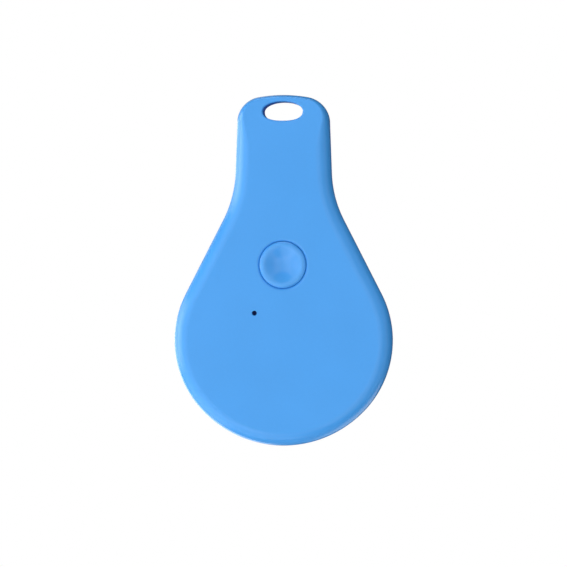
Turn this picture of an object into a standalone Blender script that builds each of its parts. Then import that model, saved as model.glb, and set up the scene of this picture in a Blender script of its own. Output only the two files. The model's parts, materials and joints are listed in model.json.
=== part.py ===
"""A key-ring tracker tag, built as an assembly.

Two moulded shells with a lanyard hole in the neck close on a circuit board. The front shell carries a
push button over a tact switch and a piezo sounder behind a pinhole. The rear shell carries a coin-turned
battery door on three ramped lugs, over a 20 mm coin cell.

Frame: metres, +Z up, -Y is the front face. The origin is the centre of the lanyard hole, at mid thickness.
"""

import math

import bmesh
import bpy

MM = 0.001

# Outline, seen from the front. Each angle is the direction of the outward normal, in degrees from +X.
HEIGHT = 57.8 * MM
TOP_ABOVE_HOLE = 2.7 * MM
BOTTOM_RADIUS = 18.4 * MM
SIDE_RADIUS = 16.85 * MM
SHOULDER_RADIUS = 18.3 * MM
CORNER_RADIUS = 4.3 * MM
TOP_RADIUS = 23.4 * MM
SIDE_STARTS = -42.5
FLANK_ANGLE = 27.0
NECK_ANGLE = 2.1
CORNER_ENDS = 80.0
ARC_STEP = 6.5  # degrees between outline points
RUN_POINTS = 2  # points inside each straight run

# Thickness, front (-Y) to rear (+Y)
THICKNESS = 7.8 * MM
FRONT_Y = -THICKNESS / 2
REAR_Y = THICKNESS / 2
SIDE_WALL = 1.4 * MM
FACE_WALL = 1.1 * MM
PARTING_Y = 0.6 * MM
SEAM = 0.05 * MM
SEAM_CHAMFER = 0.12 * MM
EDGE_INSET = 2.4 * MM  # how far the rounded edge reaches in over the face
EDGE_DEPTH = 2.6 * MM  # and down the side
EDGE_STEPS = 5
RIM_SHARE = 0.22  # the edge narrows to this share of EDGE_INSET over the lanyard hole
RIM_FADES_FROM = -7.0 * MM
CAVITY_TOP = -3.6 * MM
CORNER_CHAMFER = 0.5 * MM
CLEARANCE = 0.05 * MM  # between parts that touch
OVERLAP = 0.3 * MM  # how far a boss or a cutter runs into the wall it joins or opens
LIP = 0.15 * MM  # chamfer round the door recess and the door

# Lanyard hole
HOLE_HALF_WIDTH = 3.3 * MM
HOLE_HALF_HEIGHT = 1.58 * MM
HOLE_LOWER_POWER = 2.4  # the lower half is fuller than an ellipse, whose power is 2
HOLE_FLARE = 0.3 * MM

# Case seal, a square cord in the front shell's rim
SEAL_INSET = 0.45 * MM
SEAL_WIDTH = 0.55 * MM
SEAL_DEPTH = 0.5 * MM
SEAL_TOP = -2.4 * MM

# Button and tact switch
BUTTON_Z = -25.3 * MM
BUTTON_RADIUS = 3.75 * MM
BUTTON_HOLE_RADIUS = 3.95 * MM
BUTTON_FLANGE_RADIUS = 4.6 * MM
BUTTON_RECESS_RADIUS = 5.0 * MM
BUTTON_RECESS_Y = -3.0 * MM
BUTTON_UNDERSIDE_Y = -2.7 * MM
BUTTON_HOLE_LIP = 0.35 * MM
BUTTON_PROUD = 0.2 * MM
BUTTON_CREST_RADIUS = 3.15 * MM
DISH_DEPTH = 1.1 * MM
SWITCH_SIDE = 3.4 * MM
SWITCH_PLUNGER_TOP_Y = -2.65 * MM

# Sounder
PINHOLE_X = -4.65 * MM
PINHOLE_Z = -33.25 * MM
PINHOLE_RADIUS = 0.4 * MM
SOUNDER_X = -2.4 * MM
SOUNDER_Z = -38.4 * MM
SOUNDER_SEAT_INNER = 6.7 * MM
SOUNDER_SEAT_OUTER = 7.9 * MM
SOUNDER_SEAT_Y = -2.3 * MM
SOUNDER_RADIUS = 7.6 * MM

# Circuit board
BOARD_FRONT_Y = -1.6 * MM
BOARD_REAR_Y = -0.8 * MM
BOARD_INSET = 1.9 * MM
BOARD_TOP = -5.5 * MM

# Coin cell and its door, round one axis
CELL_Z = -37.2 * MM
CELL_RADIUS = 10.0 * MM
CELL_REAR_Y = 2.6 * MM
CELL_FRONT_Y = -0.6 * MM
DOOR_RADIUS = 11.85 * MM
DOOR_THICKNESS = 1.2 * MM
DOOR_RECESS_RADIUS = 12.0 * MM
DOOR_SEAT_Y = 2.05 * MM
SKIRT_INNER = 10.2 * MM
SKIRT_OUTER = 10.65 * MM
WELL_INNER = 10.8 * MM
WELL_OUTER = 12.8 * MM
WELL_FRONT_Y = 0.25 * MM
LUG_RADIUS = 11.1 * MM
LUG_FRONT_Y = 0.55 * MM
LUG_HEIGHT = 0.5 * MM
LUG_ANGLE = 21.0
LUG_COUNT = 3
DOOR_TURN = 45.0  # degrees from closed to free
DOOR_RISE = 0.7 * MM  # over that turn
COIN_SLOT_LENGTH = 13.0 * MM
COIN_SLOT_WIDTH = 1.8 * MM
COIN_SLOT_DEPTH = 0.7 * MM
O_RING_RADIUS = 11.6 * MM
O_RING_THICKNESS = 0.5 * MM

# Case screws, on a circle round the cell: one at the bottom, two at the shoulders
SCREW_CIRCLE = 14.2 * MM
SCREW_ANGLES = (180.0, 52.0, -52.0)
BOSS_RADIUS = 2.0 * MM
PIN_RADIUS = 1.2 * MM
PILOT_RADIUS = 0.55 * MM
SHANK_RADIUS = 0.5 * MM
SCREW_HOLE_RADIUS = 0.7 * MM
SCREW_HEAD_RADIUS = 1.2 * MM
SCREW_HEAD_HEIGHT = 0.6 * MM
COUNTERBORE_RADIUS = 1.35 * MM
COUNTERBORE_DEPTH = 1.2 * MM
SCREW_TIP_Y = -2.4 * MM

# Materials: colour, roughness, metallic
SHELL_BLUE = ((0.095, 0.376, 0.871), 0.48, 0.0)
BUTTON_BLUE = ((0.095, 0.376, 0.871), 0.45, 0.0)
SEAL_RUBBER = ((0.03, 0.03, 0.035), 0.75, 0.0)
BOARD_GREEN = ((0.015, 0.10, 0.045), 0.4, 0.0)
CHIP_BLACK = ((0.02, 0.02, 0.022), 0.55, 0.0)
PART_CERAMIC = ((0.62, 0.55, 0.44), 0.5, 0.0)
SOUNDER_CERAMIC = ((0.78, 0.77, 0.72), 0.45, 0.0)
FRAME_WHITE = ((0.75, 0.75, 0.72), 0.5, 0.0)
MESH_GREY = ((0.06, 0.06, 0.065), 0.8, 0.0)
STEEL = ((0.60, 0.61, 0.62), 0.28, 1.0)
NICKEL = ((0.68, 0.66, 0.62), 0.22, 1.0)
BRASS = ((0.80, 0.58, 0.25), 0.3, 1.0)
COPPER = ((0.78, 0.42, 0.26), 0.35, 1.0)


# ---------------------------------------------------------------- outline


def half_outline():
    """The outline's right half from bottom to top, as (x, z, outward normal in radians)."""
    arcs = (  # radius, first normal, last normal, +1 bulging or -1 hollow
        (BOTTOM_RADIUS, -90.0, SIDE_STARTS, 1),
        (SIDE_RADIUS, SIDE_STARTS, FLANK_ANGLE, 1),
        (SHOULDER_RADIUS, FLANK_ANGLE, NECK_ANGLE, -1),
        (CORNER_RADIUS, NECK_ANGLE, CORNER_ENDS, 1),
        (TOP_RADIUS, CORNER_ENDS, 90.0, 1),
    )
    flank, neck = straight_runs(arcs)
    run_after = (0.0, flank, neck, 0.0, 0.0)
    x, z = 0.0, TOP_ABOVE_HOLE - HEIGHT
    points = []
    for (radius, first, last, bulge), run in zip(arcs, run_after):
        a, b = math.radians(first), math.radians(last)
        centre_x, centre_z = x - bulge * radius * math.cos(a), z - bulge * radius * math.sin(a)
        steps = max(1, round(abs(last - first) / ARC_STEP))
        for k in range(steps):
            t = a + (b - a) * k / steps
            reach = bulge * radius
            points.append((centre_x + reach * math.cos(t), centre_z + reach * math.sin(t), t))
        x, z = centre_x + bulge * radius * math.cos(b), centre_z + bulge * radius * math.sin(b)
        if run:
            for k in range(RUN_POINTS + 1):
                along = run * k / (RUN_POINTS + 1)
                points.append((x - along * math.sin(b), z + along * math.cos(b), b))
            x, z = x - run * math.sin(b), z + run * math.cos(b)
    points.append((0.0, z, math.pi / 2))
    return points


def straight_runs(arcs):
    """Lengths of the flank and the neck that make the arcs end on the centre line at full height."""
    across = sum(s * r * (math.cos(math.radians(b)) - math.cos(math.radians(a))) for r, a, b, s in arcs)
    up = sum(s * r * (math.sin(math.radians(b)) - math.sin(math.radians(a))) for r, a, b, s in arcs)
    flank, neck = math.radians(FLANK_ANGLE), math.radians(NECK_ANGLE)
    missing = HEIGHT - up
    determinant = math.sin(flank - neck)
    flank_run = (across * math.cos(neck) - missing * math.sin(neck)) / determinant
    neck_run = (missing * math.sin(flank) - across * math.cos(flank)) / determinant
    return flank_run, neck_run


HALF = half_outline()
OUTLINE = HALF + [(-x, z, math.pi - t) for x, z, t in reversed(HALF[1:-1])]


def tag_loop(inset, y, top=None):
    """The outline moved in by inset, at depth y. With top, it is cut off flat at that height."""
    loop = []
    for x, z, normal in OUTLINE:
        px, pz = x - inset * math.cos(normal), z - inset * math.sin(normal)
        loop.append((px, y, pz if top is None else min(pz, top)))
    return loop


def edge_loops(face_y, inward):
    """The rounded edge from the face to the side. inward is +1 on the front face and -1 on the rear."""
    loops = []
    for k in range(EDGE_STEPS + 1):
        t = math.pi / 2 * k / EDGE_STEPS
        y = face_y + inward * EDGE_DEPTH * (1 - math.cos(t))
        loop = []
        for x, z, normal in OUTLINE:
            inset = EDGE_INSET * rim_share(z) * (1 - math.sin(t))
            loop.append((x - inset * math.cos(normal), y, z - inset * math.sin(normal)))
        loops.append(loop)
    return loops


def rim_share(z):
    """1 over most of the tag, falling smoothly to RIM_SHARE at the lanyard hole's rim."""
    t = min(max((z - RIM_FADES_FROM) / (TOP_ABOVE_HOLE - RIM_FADES_FROM), 0.0), 1.0)
    return 1 - (1 - RIM_SHARE) * t * t * (3 - 2 * t)


# ---------------------------------------------------------------- shapes


def material(name, look):
    colour, roughness, metallic = look
    made = bpy.data.materials.get(name) or bpy.data.materials.new(name)
    made.use_nodes = True
    shader = made.node_tree.nodes["Principled BSDF"]
    shader.inputs["Base Color"].default_value = (*colour, 1.0)
    shader.inputs["Roughness"].default_value = roughness
    shader.inputs["Metallic"].default_value = metallic
    made.diffuse_color = (*colour, 1.0)
    return made


def add_object(name, shape, look=None, smooth=30.0):
    """An object from a closed bmesh. Without a look it is a cutter or an addition, kept out of renders."""
    bmesh.ops.recalc_face_normals(shape, faces=shape.faces)
    mesh = bpy.data.meshes.new(name)
    shape.to_mesh(mesh)
    shape.free()
    made = bpy.data.objects.new(name, mesh)
    bpy.context.scene.collection.objects.link(made)
    if look is None:
        made.hide_render = True
        made.display_type = "WIRE"
    else:
        mesh.materials.append(material(name + "_material", look))
        mesh.shade_smooth()
        mesh.set_sharp_from_angle(angle=math.radians(smooth))
    return made


def loft(name, loops, look=None, ring=False, twisted=False):
    """A solid through loops of equal length: capped at both ends, or joined end to end as a ring.

    A twisted one has sides that aren't flat, so its faces are split into triangles.
    """
    shape = bmesh.new()
    rows = [[shape.verts.new(point) for point in loop] for loop in loops]
    pairs = list(zip(rows, rows[1:]))
    if ring:
        pairs.append((rows[-1], rows[0]))
    else:
        shape.faces.new(rows[0])
        shape.faces.new(rows[-1])
    for lower, upper in pairs:
        for i in range(len(lower)):
            j = (i + 1) % len(lower)
            shape.faces.new((lower[i], lower[j], upper[j], upper[i]))
    if twisted:
        bmesh.ops.triangulate(shape, faces=shape.faces)
    return add_object(name, shape, look)


def circle(radius, y, x=0.0, z=0.0, segments=48):
    """A circle round an axis along Y. Angle 0 is up, and it runs the way a positive turn about +Y goes."""
    angles = (2 * math.pi * k / segments for k in range(segments))
    return [(x + radius * math.sin(a), y, z + radius * math.cos(a)) for a in angles]


def turned(name, profile, x=0.0, z=0.0, look=None, ring=False, segments=48):
    """A solid of revolution about the Y axis through (x, z), from (radius, y) pairs."""
    return loft(name, [circle(r, y, x, z, segments) for r, y in profile], look, ring)


def drum(name, radius, y_low, y_high, x=0.0, z=0.0, look=None, segments=24):
    return turned(name, [(radius, y_low), (radius, y_high)], x, z, look, segments=segments)


def tube(name, inner, outer, y_low, y_high, x=0.0, z=0.0, look=None, segments=48):
    profile = [(inner, y_low), (outer, y_low), (outer, y_high), (inner, y_high)]
    return turned(name, profile, x, z, look, ring=True, segments=segments)


def sector(name, inner, outer, y_low, height, start, end, rise=0.0, look=None):
    """A block bent round the cell's axis from start to end degrees, climbing by rise along the way."""
    steps = max(2, math.ceil((end - start) / 8.0))
    loops = []
    for k in range(steps + 1):
        a = math.radians(start + (end - start) * k / steps)
        y = y_low + rise * k / steps
        corners = ((inner, y), (outer, y), (outer, y + height), (inner, y + height))
        loops.append([(r * math.sin(a), level, CELL_Z + r * math.cos(a)) for r, level in corners])
    return loft(name, loops, look, twisted=rise > 0)


def block(name, centre, size, look=None, bevel=0.0):
    """A box by its centre and size, with its edges chamfered by bevel."""
    shape = bmesh.new()
    bmesh.ops.create_cube(shape, size=1.0)
    bmesh.ops.scale(shape, vec=size, verts=shape.verts)
    bmesh.ops.translate(shape, vec=centre, verts=shape.verts)
    if bevel:
        bmesh.ops.bevel(shape, geom=shape.edges[:], offset=bevel, segments=1, affect="EDGES")
    return add_object(name, shape, look)


def folded_strip(name, path, width, thickness, x, look):
    """A bent metal leaf: path gives (z, y) points along its middle, thickness is across the fold."""
    half = thickness / 2
    outline = [(z, y + half) for z, y in path] + [(z, y - half) for z, y in reversed(path)]
    sides = (x - width / 2, x + width / 2)
    return loft(name, [[(side, y, z) for z, y in outline] for side in sides], look)


def boolean(target, other, operation):
    step = target.modifiers.new(other.name, "BOOLEAN")
    step.object = other
    step.operation = operation


def cut(target, *cutters):
    for cutter in cutters:
        boolean(target, cutter, "DIFFERENCE")


def add(target, *additions):
    for addition in additions:
        boolean(target, addition, "UNION")


def screw_places():
    for number, degrees in enumerate(SCREW_ANGLES, 1):
        a = math.radians(degrees)
        yield number, SCREW_CIRCLE * math.sin(a), CELL_Z + SCREW_CIRCLE * math.cos(a)


# ---------------------------------------------------------------- shells


def lanyard_cutter():
    """An oval hole through both shells, flared a little at each face."""
    depths = ((FRONT_Y - MM, 1), (FRONT_Y, 1), (FRONT_Y + HOLE_FLARE, 0))
    depths += ((REAR_Y - HOLE_FLARE, 0), (REAR_Y, 1), (REAR_Y + MM, 1))
    return loft("cut_lanyard_hole", [hole_loop(HOLE_FLARE * flared, y) for y, flared in depths])


def hole_loop(grow, y):
    """The oval with its edge moved out by grow."""
    loop = []
    for across, _, up in circle(1.0, 0.0, segments=40):
        bend = 2.0 / HOLE_LOWER_POWER if up < 0 else 1.0
        x = (HOLE_HALF_WIDTH + grow) * math.copysign(abs(across) ** bend, across)
        z = (HOLE_HALF_HEIGHT + grow) * math.copysign(abs(up) ** bend, up)
        loop.append((x, y, z))
    return loop


def front_shell():
    seal_far = SEAL_INSET + SEAL_WIDTH
    seal_floor = PARTING_Y - SEAL_DEPTH
    loops = edge_loops(FRONT_Y, 1) + [
        tag_loop(0, PARTING_Y - SEAM_CHAMFER),
        tag_loop(SEAM_CHAMFER, PARTING_Y),
        tag_loop(SEAL_INSET, PARTING_Y, SEAL_TOP),
        tag_loop(SEAL_INSET, seal_floor, SEAL_TOP),
        tag_loop(seal_far, seal_floor, SEAL_TOP - SEAL_WIDTH),
        tag_loop(seal_far, PARTING_Y, SEAL_TOP - SEAL_WIDTH),
        tag_loop(SIDE_WALL, PARTING_Y, CAVITY_TOP),
        tag_loop(SIDE_WALL, FRONT_Y + FACE_WALL + CORNER_CHAMFER, CAVITY_TOP),
        tag_loop(SIDE_WALL + CORNER_CHAMFER, FRONT_Y + FACE_WALL, CAVITY_TOP - CORNER_CHAMFER),
    ]
    shell = loft("front_shell", loops, SHELL_BLUE)
    inner_face = FRONT_Y + FACE_WALL
    seat = tube("add_sounder_seat", SOUNDER_SEAT_INNER, SOUNDER_SEAT_OUTER, inner_face - OVERLAP,
                SOUNDER_SEAT_Y, SOUNDER_X, SOUNDER_Z)
    add(shell, seat)
    shoulder, pin_end = BOARD_FRONT_Y - CLEARANCE, BOARD_REAR_Y - CLEARANCE
    for number, x, z in screw_places():
        profile = [(BOSS_RADIUS, inner_face - OVERLAP), (BOSS_RADIUS, shoulder), (PIN_RADIUS, shoulder),
                   (PIN_RADIUS, pin_end)]
        add(shell, turned(f"add_front_boss_{number}", profile, x, z, segments=20))
    pilot_front = SCREW_TIP_Y - 0.2 * MM
    for number, x, z in screw_places():
        cut(shell, drum(f"cut_pilot_{number}", PILOT_RADIUS, pilot_front, 0, x, z, segments=12))
    mouth = BUTTON_HOLE_RADIUS + BUTTON_HOLE_LIP
    bore = [(mouth, FRONT_Y - MM), (mouth, FRONT_Y),
            (mouth - 0.7 * BUTTON_HOLE_LIP, FRONT_Y + 0.3 * BUTTON_HOLE_LIP),
            (BUTTON_HOLE_RADIUS, FRONT_Y + BUTTON_HOLE_LIP), (BUTTON_HOLE_RADIUS, BUTTON_RECESS_Y),
            (BUTTON_RECESS_RADIUS, BUTTON_RECESS_Y), (BUTTON_RECESS_RADIUS, inner_face + OVERLAP)]
    cut(shell, turned("cut_button_bore", bore, 0, BUTTON_Z))
    through = (FRONT_Y - MM, inner_face + OVERLAP)
    cut(shell, drum("cut_pinhole", PINHOLE_RADIUS, *through, PINHOLE_X, PINHOLE_Z, segments=16))
    return shell


def rear_shell():
    inner_face = REAR_Y - FACE_WALL
    rim = PARTING_Y + SEAM
    loops = edge_loops(REAR_Y, -1) + [
        tag_loop(0, rim + SEAM_CHAMFER),
        tag_loop(SEAM_CHAMFER, rim),
        tag_loop(SIDE_WALL, rim, CAVITY_TOP),
        tag_loop(SIDE_WALL, inner_face - CORNER_CHAMFER, CAVITY_TOP),
        tag_loop(SIDE_WALL + CORNER_CHAMFER, inner_face, CAVITY_TOP - CORNER_CHAMFER),
    ]
    shell = loft("rear_shell", loops, SHELL_BLUE)
    reach = inner_face + OVERLAP
    add(shell, drum("add_cell_well", WELL_OUTER, WELL_FRONT_Y, reach, 0, CELL_Z, segments=56))
    boss_end = BOARD_REAR_Y + CLEARANCE
    for number, x, z in screw_places():
        add(shell, drum(f"add_rear_boss_{number}", BOSS_RADIUS, boss_end, reach, x, z, segments=20))
    for number, x, z in screw_places():
        profile = [(SCREW_HOLE_RADIUS, boss_end - MM), (SCREW_HOLE_RADIUS, REAR_Y - COUNTERBORE_DEPTH),
                   (COUNTERBORE_RADIUS, REAR_Y - COUNTERBORE_DEPTH), (COUNTERBORE_RADIUS, REAR_Y + MM)]
        cut(shell, turned(f"cut_screw_hole_{number}", profile, x, z, segments=20))
    opening = [(WELL_INNER, -MM), (WELL_INNER, DOOR_SEAT_Y), (DOOR_RECESS_RADIUS, DOOR_SEAT_Y),
               (DOOR_RECESS_RADIUS, REAR_Y - LIP), (DOOR_RECESS_RADIUS + LIP, REAR_Y),
               (DOOR_RECESS_RADIUS + LIP, REAR_Y + MM)]
    cut(shell, turned("cut_door_opening", opening, 0, CELL_Z, segments=64))
    for number in range(LUG_COUNT):
        cut(shell, *lug_way_cutters(number))
    return shell


def lug_way_cutters(number):
    """The ramped channel that a door lug climbs, and the notch at its end where the lug lifts out."""
    centre = 360.0 / LUG_COUNT * number
    play = 1.0  # degrees
    half = LUG_ANGLE / 2 + play
    inner, outer = WELL_INNER - OVERLAP, LUG_RADIUS + 3 * CLEARANCE
    reach = DOOR_TURN + LUG_ANGLE / 2  # the ramp ends inside the notch
    climb = DOOR_RISE * (half + reach) / DOOR_TURN
    low = LUG_FRONT_Y - DOOR_RISE * half / DOOR_TURN - CLEARANCE
    ramp = sector(f"cut_lug_ramp_{number + 1}", inner, outer, low, LUG_HEIGHT + 2 * CLEARANCE,
                  centre - half, centre + reach, climb)
    notch_low = low + DOOR_RISE + 2 * CLEARANCE
    notch = sector(f"cut_lug_notch_{number + 1}", inner - 2 * CLEARANCE, outer + CLEARANCE, notch_low,
                   DOOR_SEAT_Y + OVERLAP - notch_low, centre + DOOR_TURN - half, centre + DOOR_TURN + half)
    return ramp, notch


def case_seal():
    near, far = SEAL_INSET + CLEARANCE, SEAL_INSET + SEAL_WIDTH - CLEARANCE
    low, high = PARTING_Y - SEAL_DEPTH + CLEARANCE, PARTING_Y
    corners = ((near, low), (far, low), (far, high), (near, high))
    loops = [tag_loop(inset, y, SEAL_TOP - (inset - SEAL_INSET)) for inset, y in corners]
    loft("case_seal", loops, SEAL_RUBBER, ring=True)


def case_screws():
    head_low = REAR_Y - COUNTERBORE_DEPTH + CLEARANCE
    head_high = head_low + SCREW_HEAD_HEIGHT
    point_end = SCREW_TIP_Y + 0.6 * MM
    for number, x, z in screw_places():
        profile = [(0.15 * MM, SCREW_TIP_Y), (SHANK_RADIUS, point_end), (SHANK_RADIUS, head_low),
                   (SCREW_HEAD_RADIUS, head_low), (SCREW_HEAD_RADIUS, head_high - 0.2 * MM),
                   (SCREW_HEAD_RADIUS * 0.75, head_high)]
        screw = turned(f"case_screw_{number}", profile, x, z, STEEL, segments=20)
        length, width, depth = 1.3 * MM, 0.28 * MM, 0.4 * MM
        middle = (x, head_high, z)
        cut(screw, block(f"cut_recess_across_{number}", middle, (length, 2 * depth, width)))
        cut(screw, block(f"cut_recess_along_{number}", middle, (width, 2 * depth, length)))


# ---------------------------------------------------------------- button and switch


def button_cap():
    """A stepped cap: a flange behind the shell keeps it in, and its face is a dish inside a raised rim."""
    crest = FRONT_Y - BUTTON_PROUD
    flange_front = BUTTON_RECESS_Y + CLEARANCE
    profile = [(BUTTON_FLANGE_RADIUS, BUTTON_UNDERSIDE_Y), (BUTTON_FLANGE_RADIUS, flange_front),
               (BUTTON_RADIUS, flange_front), (BUTTON_RADIUS, crest + 0.45 * MM),
               (BUTTON_RADIUS - 0.15 * MM, crest + 0.15 * MM), (BUTTON_CREST_RADIUS, crest)]
    for share in (0.88, 0.76, 0.64, 0.5, 0.35, 0.15):
        depth = DISH_DEPTH * (1 - share * share) ** 1.5
        profile.append((BUTTON_CREST_RADIUS * share, crest + depth))
    turned("button_cap", profile, 0, BUTTON_Z, BUTTON_BLUE, segments=56)


def tact_switch():
    base_rear = BOARD_FRONT_Y - CLEARANCE
    base_front = base_rear - 0.35 * MM
    dome_hole = 1.2 * MM
    base = block("switch_base", (0, (base_rear + base_front) / 2, BUTTON_Z),
                 (SWITCH_SIDE - 0.4 * MM, base_rear - base_front, SWITCH_SIDE - 0.4 * MM), CHIP_BLACK)
    cut(base, drum("cut_dome_seat", dome_hole, base_front - MM, base_front + 0.15 * MM, 0, BUTTON_Z))
    rim_y, crest_y, sheet = base_front + 0.09 * MM, base_front - 0.1 * MM, 0.05 * MM
    outside = [(1.1 * MM, rim_y), (0.95 * MM, rim_y - 0.08 * MM), (0.6 * MM, crest_y + 0.05 * MM),
               (0.2 * MM, crest_y)]
    inside = [(0.2 * MM, crest_y + sheet), (0.57 * MM, crest_y + 0.05 * MM + sheet),
              (0.9 * MM, rim_y - 0.08 * MM + sheet), (1.05 * MM, rim_y + sheet / 2)]
    turned("switch_dome", outside + inside, 0, BUTTON_Z, NICKEL, ring=True, segments=24)
    collar_rear = crest_y - CLEARANCE
    collar_front = collar_rear - 0.1 * MM
    plunger = [(1.0 * MM, collar_rear), (1.0 * MM, collar_front), (0.75 * MM, collar_front),
               (0.75 * MM, SWITCH_PLUNGER_TOP_Y)]
    turned("switch_plunger", plunger, 0, BUTTON_Z, FRAME_WHITE, segments=24)
    cover_low, cover_high = collar_front - CLEARANCE, collar_front - CLEARANCE - 0.1 * MM
    half = SWITCH_SIDE / 2
    cover = block("switch_cover", (0, (cover_high + base_rear) / 2, BUTTON_Z),
                  (2 * half, base_rear - cover_high, 2 * half), STEEL)
    room = SWITCH_SIDE - 0.3 * MM
    cut(cover, block("cut_cover_inside", (0, (cover_low + base_rear + MM) / 2, BUTTON_Z),
                     (room, base_rear + MM - cover_low, room)))
    cut(cover, drum("cut_cover_hole", 0.82 * MM, cover_high - MM, cover_low + 0.1 * MM, 0, BUTTON_Z))


# ---------------------------------------------------------------- sounder


def sounder():
    plate_front = SOUNDER_SEAT_Y + CLEARANCE
    plate_rear = plate_front + 0.2 * MM
    ceramic_front = plate_rear + 0.02 * MM
    ceramic_rear = ceramic_front + 0.13 * MM
    middle = (SOUNDER_X, SOUNDER_Z)
    drum("sounder_plate", SOUNDER_RADIUS, plate_front, plate_rear, *middle, BRASS, 48)
    drum("sounder_ceramic", 5.0 * MM, ceramic_front, ceramic_rear, *middle, SOUNDER_CERAMIC, 40)
    inner_face = FRONT_Y + FACE_WALL
    drum("sound_mesh", 0.9 * MM, inner_face + CLEARANCE, inner_face + 0.2 * MM, PINHOLE_X, PINHOLE_Z,
         MESH_GREY, 20)
    leaf = 0.08 * MM
    foot_y = BOARD_FRONT_Y - CLEARANCE - leaf / 2
    for name, x, touch_y in (("sounder_spring_plate", SOUNDER_X + 6.3 * MM, plate_rear),
                             ("sounder_spring_ceramic", SOUNDER_X + 1.5 * MM, ceramic_rear)):
        tip_y = touch_y + CLEARANCE + leaf / 2
        path = [(0.0, foot_y), (1.1 * MM, foot_y), (1.9 * MM, tip_y), (2.4 * MM, tip_y)]
        path = [(SOUNDER_Z - 1.2 * MM + z, y) for z, y in path]
        folded_strip(name, path, 0.9 * MM, leaf, x, COPPER)


# ---------------------------------------------------------------- circuit board


def circuit_board():
    loops = [tag_loop(BOARD_INSET, y, BOARD_TOP) for y in (BOARD_FRONT_Y, BOARD_REAR_Y)]
    board = loft("circuit_board", loops, BOARD_GREEN)
    for number, x, z in screw_places():
        cut(board, drum(f"cut_board_hole_{number}", PIN_RADIUS + 0.1 * MM, BOARD_FRONT_Y - MM,
                        BOARD_REAR_Y + MM, x, z, segments=20))


def chip(name, x, z, size, look, bevel=0.0):
    """A surface-mount part on the rear of the board, in millimetres: size is across, along and high."""
    across, along, high = (value * MM for value in size)
    y = BOARD_REAR_Y + CLEARANCE + high / 2
    block(name, (x * MM, y, z * MM), (across, high, along), look, bevel * MM)


def board_parts():
    chip("radio_chip", 0.0, -15.2, (6.0, 6.0, 0.85), CHIP_BLACK, bevel=0.06)
    chip("chip_antenna", 0.0, -7.5, (6.5, 2.0, 1.0), SOUNDER_CERAMIC, bevel=0.05)
    chip("main_crystal", 3.9, -10.9, (2.0, 2.5, 0.6), STEEL, bevel=0.08)
    chip("clock_crystal", -4.0, -20.3, (1.5, 3.2, 0.8), STEEL, bevel=0.08)
    chip("sounder_coil", 5.4, -21.6, (3.0, 3.0, 1.5), CHIP_BLACK, bevel=0.2)
    chip("sounder_transistor", 1.2, -21.3, (2.9, 1.3, 1.0), CHIP_BLACK, bevel=0.1)
    capacitors = ((-2.0, -10.2), (0.4, -10.6), (-4.3, -13.4), (-4.3, -15.6), (4.3, -14.2), (4.3, -16.6))
    for number, (x, z) in enumerate(capacitors, 1):
        chip(f"capacitor_{number}", x, z, (0.5, 1.0, 0.5), PART_CERAMIC, bevel=0.03)
    resistors = ((-4.3, -11.2), (-1.8, -20.2), (-0.6, -18.9), (1.2, -18.9))
    for number, (x, z) in enumerate(resistors, 1):
        chip(f"resistor_{number}", x, z, (0.5, 1.0, 0.35), CHIP_BLACK)


# ---------------------------------------------------------------- cell, contacts and door


def coin_cell():
    """A steel can crimped over a ring of insulator round the negative cup."""
    crimp_y = CELL_FRONT_Y + 0.3 * MM
    can = [(CELL_RADIUS - 0.3 * MM, CELL_REAR_Y), (CELL_RADIUS, CELL_REAR_Y - 0.3 * MM),
           (CELL_RADIUS, crimp_y + 0.2 * MM), (CELL_RADIUS - 0.2 * MM, crimp_y),
           (CELL_RADIUS - 0.45 * MM, crimp_y), (CELL_RADIUS - 0.45 * MM, CELL_REAR_Y - 0.3 * MM)]
    turned("cell_can", can, 0, CELL_Z, NICKEL)
    insulator_outer = CELL_RADIUS - 0.5 * MM
    insulator_inner = CELL_RADIUS - 0.9 * MM
    tube("cell_insulator", insulator_inner, insulator_outer, crimp_y, CELL_REAR_Y - 0.4 * MM, 0, CELL_Z,
         SEAL_RUBBER)
    cup_radius = insulator_inner - 0.05 * MM
    cup = [(cup_radius, CELL_REAR_Y - 0.4 * MM), (cup_radius, crimp_y), (cup_radius - 0.4 * MM, crimp_y),
           (cup_radius - 0.7 * MM, CELL_FRONT_Y)]
    turned("cell_cup", cup, 0, CELL_Z, NICKEL)


def battery_contacts():
    frame_front = BOARD_REAR_Y + CLEARANCE
    sector("cell_frame", CELL_RADIUS + 0.35 * MM, CELL_RADIUS + 1.4 * MM, frame_front,
           WELL_FRONT_Y - 0.1 * MM - frame_front, 30.0, 330.0, look=FRAME_WHITE)
    leaf = 0.1 * MM
    loops = []
    for y in (frame_front, frame_front + leaf):
        loop = []
        for k in range(36):
            a = 2 * math.pi * k / 36
            reach = (5.0 + 1.6 * math.cos(3 * a)) * MM
            loop.append((reach * math.sin(a), y, CELL_Z + reach * math.cos(a)))
        loops.append(loop)
    loft("negative_contact", loops, NICKEL)
    inner, wall = CELL_RADIUS + 0.12 * MM, 0.12 * MM
    contact = sector("positive_contact", inner, inner + wall, frame_front,
                     WELL_FRONT_Y - 0.1 * MM - frame_front, -20.0, 20.0, look=NICKEL)
    foot_top = CELL_Z + CELL_RADIUS + 2.2 * MM
    foot_low = CELL_Z + inner + wall / 2
    add(contact, block("add_contact_foot", (0, frame_front + leaf / 2, (foot_top + foot_low) / 2),
                       (2.4 * MM, leaf, foot_top - foot_low)))


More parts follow.
